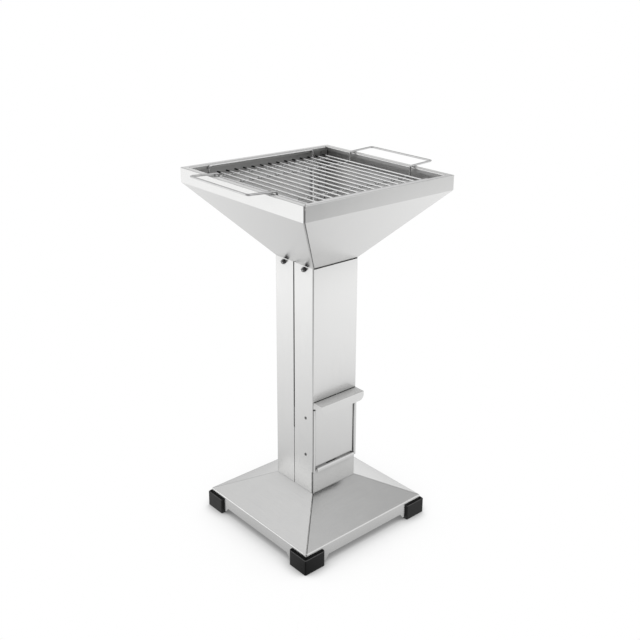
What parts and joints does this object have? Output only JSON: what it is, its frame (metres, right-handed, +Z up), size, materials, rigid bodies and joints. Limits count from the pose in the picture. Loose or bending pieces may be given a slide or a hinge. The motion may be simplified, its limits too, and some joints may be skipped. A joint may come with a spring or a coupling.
{
  "type": "charcoal grill pedestal",
  "caption": "Free-standing sheet-steel charcoal grill: square funnel fire bowl on a column with a pull-out ash drawer, pyramid base on corner feet, lift-out wire grates.",
  "frame": {"origin": "on the floor under the middle of the base", "axes": "+Z up, the ash drawer and its handle face -Y, the cooking grate's handles lie at +X and -X"},
  "size_m": [0.529, 0.43, 0.8688],
  "materials": {
    "bowl_steel": "fine brushed",
    "column_steel": "fine brushed, upright grain",
    "base_steel": "fine brushed",
    "drawer_steel": "fine brushed",
    "tray_steel": "mill",
    "guide_steel": "mill",
    "fasteners": "turned",
    "charcoal_wire": "bright plated",
    "grill_wire": "bright plated",
    "foot_plastic": "fine textured"
  },
  "bodies": {
    "pedestal": {"bowl_half_left": "bowl_steel", "bowl_half_right": "bowl_steel", "column_front": "column_steel", "column_rear": "column_steel", "sill_panel": "column_steel", "drawer_guide_left": "guide_steel", "drawer_guide_right": "guide_steel", "guide_rivets": "fasteners", "bowl_bolts": "fasteners", "bowl_nuts": "fasteners", "base_bolts": "fasteners", "base_nuts": "fasteners", "base_half_left": "base_steel", "base_half_right": "base_steel", "foot_front_left": "foot_plastic", "foot_front_right": "foot_plastic", "foot_rear_left": "foot_plastic", "foot_rear_right": "foot_plastic"},
    "ash_drawer": {"ash_tray": "tray_steel", "drawer_front": "drawer_steel"},
    "charcoal_grate": {"charcoal_frame": "charcoal_wire", "charcoal_bars": "charcoal_wire", "charcoal_lifter_rear": "charcoal_wire", "charcoal_lifter_front": "charcoal_wire"},
    "grill_grate": {"grill_bars": "grill_wire", "grill_cross_rods": "grill_wire", "grill_handle_left": "grill_wire", "grill_handle_right": "grill_wire"}
  },
  "joints": [
    {"name": "ash_drawer_slide", "type": "slide", "parent": "pedestal", "child": "ash_drawer", "axis": [0, -1, 0], "range_m": [0, 0.11]},
    {"name": "charcoal_grate_lift", "type": "slide", "parent": "pedestal", "child": "charcoal_grate", "axis": [0, 0, 1], "range_m": [0, 0.12]},
    {"name": "grill_grate_lift", "type": "slide", "parent": "charcoal_grate", "child": "grill_grate", "axis": [0, 0, 1], "range_m": [0, 0.06]}
  ]
}
